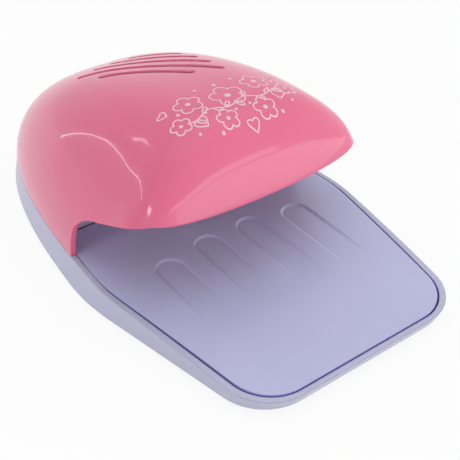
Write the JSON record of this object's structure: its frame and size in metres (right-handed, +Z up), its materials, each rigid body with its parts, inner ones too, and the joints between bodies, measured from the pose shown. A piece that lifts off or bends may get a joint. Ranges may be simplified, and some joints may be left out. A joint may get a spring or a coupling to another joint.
{
  "type": "nail polish dryer",
  "caption": "Battery nail dryer with a domed hood over a hinged press plate, a fan behind a slanting guard and a battery bay with a door.",
  "frame": {"origin": "centre of the footprint, on the surface that the feet stand on", "axes": "+X to the right of a person who uses it, +Y from the plate to the hood's tail, +Z up"},
  "size_m": [0.095, 0.1646, 0.056],
  "materials": {
    "hood_pink": "moulded, glossy",
    "base_lilac": "moulded, satin gloss",
    "plate_lilac": "moulded, satin",
    "fan_white": "moulded",
    "steel": "zinc plated",
    "motor_steel": "drawn can",
    "black_plastic": "moulded",
    "switch_cap": "moulded",
    "brass": "stamped",
    "contact_metal": "nickel plated sheet",
    "cell_sleeve": "shrunk sleeve, unprinted",
    "foot_rubber": "soft",
    "red_wire": "insulation",
    "black_wire": "insulation"
  },
  "bodies": {
    "base": {"upper_hood": "hood_pink", "lower_housing": "base_lilac", "plate_hinge_pins": "steel", "plate_springs": "steel", "fan_guard": "base_lilac", "outlet_grille": "fan_white", "guard_screws": "steel", "motor_bracket": "fan_white", "bracket_screws": "steel", "motor_screws": "steel", "motor_can": "motor_steel", "motor_end_cap": "black_plastic", "motor_terminals": "brass", "battery_front_cell": "cell_sleeve", "battery_rear_cell": "cell_sleeve", "battery_springs": "steel", "battery_contacts": "contact_metal", "battery_bridge": "contact_metal", "switch_body": "black_plastic", "switch_terminals": "contact_metal", "housing_screws": "steel", "rubber_feet": "foot_rubber", "lead_battery_to_switch": "red_wire", "lead_switch_to_motor": "red_wire", "lead_motor_to_battery": "black_wire"},
    "plate": {"finger_plate": "plate_lilac"},
    "plunger": {"switch_plunger": "switch_cap"},
    "fan": {"fan_impeller": "fan_white", "motor_shaft": "steel"},
    "door": {"battery_door": "base_lilac", "door_screw": "steel"}
  },
  "joints": [
    {"name": "plate_hinge", "type": "hinge", "parent": "base", "child": "plate", "pos_m": [0, 0.00555, 0.0049], "axis": [1, 0, 0], "range_deg": [0, 0.466], "stiffness_Nm_per_rad": 2, "springref_deg": -1.15, "deforming": ["plate_springs"]},
    {"name": "switch_plunger_slide", "type": "slide", "parent": "base", "child": "plunger", "axis": [0, 0, -1], "range_m": [0, 0.000245]},
    {"name": "fan_spin", "type": "hinge", "parent": "base", "child": "fan", "pos_m": [0, 0.00575, 0.027], "axis": [0, -0.9659, -0.2588], "continuous": true},
    {"name": "battery_door_hinge", "type": "hinge", "parent": "base", "child": "door", "pos_m": [0, 0.02565, 0.001], "axis": [-1, 0, 0], "range_deg": [0, 75]}
  ],
  "couplings": [
    {"joint": "switch_plunger_slide", "follows": "plate_hinge", "m_per_rad": 0.03}
  ]
}
